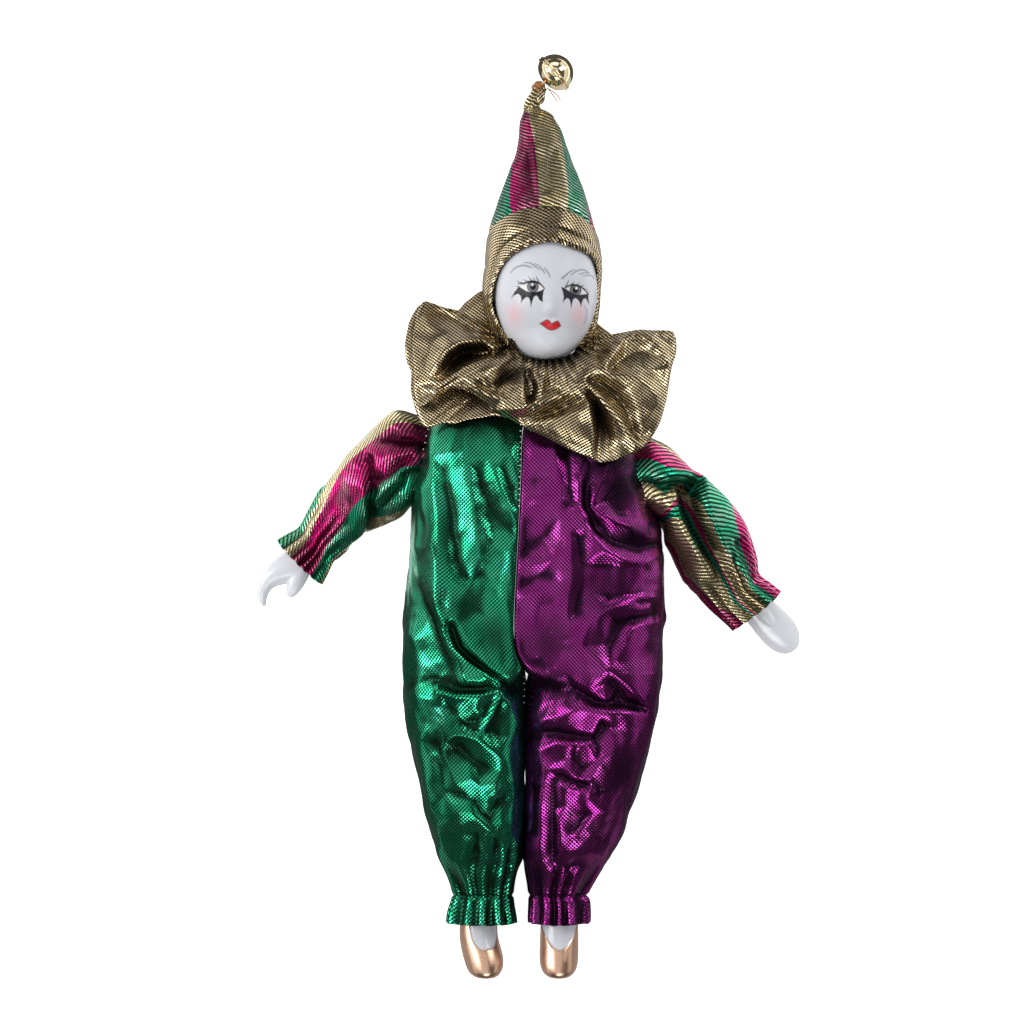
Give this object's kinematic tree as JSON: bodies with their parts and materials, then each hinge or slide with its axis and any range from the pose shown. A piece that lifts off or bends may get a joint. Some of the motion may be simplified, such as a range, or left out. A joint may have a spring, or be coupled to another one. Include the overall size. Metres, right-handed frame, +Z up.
{
  "type": "porcelain clown doll",
  "caption": "Clown doll lying on its back: glazed porcelain head, hands and shod feet, metallic green and purple romper, striped sleeves, gathered ruff, hood and cone hat with a jingle bell.",
  "frame": {"origin": "on the surface the doll lies on, below the middle of its outline", "axes": "+Z up from the surface, towards the doll's front; +Y from the feet to the hat; +X towards the doll's own left hand"},
  "size_m": [0.1478, 0.2495, 0.0384],
  "materials": {
    "porcelain": "cool white glossy glaze, with painted face and rose-gold shoes",
    "gold_lame": "plain-weave metallic cloth, antique gold over a dark ground",
    "striped_lame": "ribbed metallic cloth striped in green, pink and pale gold",
    "green_lame": "crumpled emerald metallic cloth over a dark ground",
    "purple_lame": "crumpled violet metallic cloth over a dark ground",
    "bell_brass": "polished pale gold plating",
    "binding_thread": "wound orange-brown thread"
  },
  "bodies": {
    "root": {"head": "porcelain", "hood": "gold_lame", "hat": "striped_lame", "bell": "bell_brass", "bell_tie": "binding_thread", "ruff": "gold_lame", "romper_green_half": "green_lame", "romper_purple_half": "purple_lame", "sleeve_right": "striped_lame", "sleeve_left": "striped_lame", "hand_right": "porcelain", "hand_left": "porcelain", "leg_right": "porcelain", "leg_left": "porcelain"}
  },
  "joints": []
}
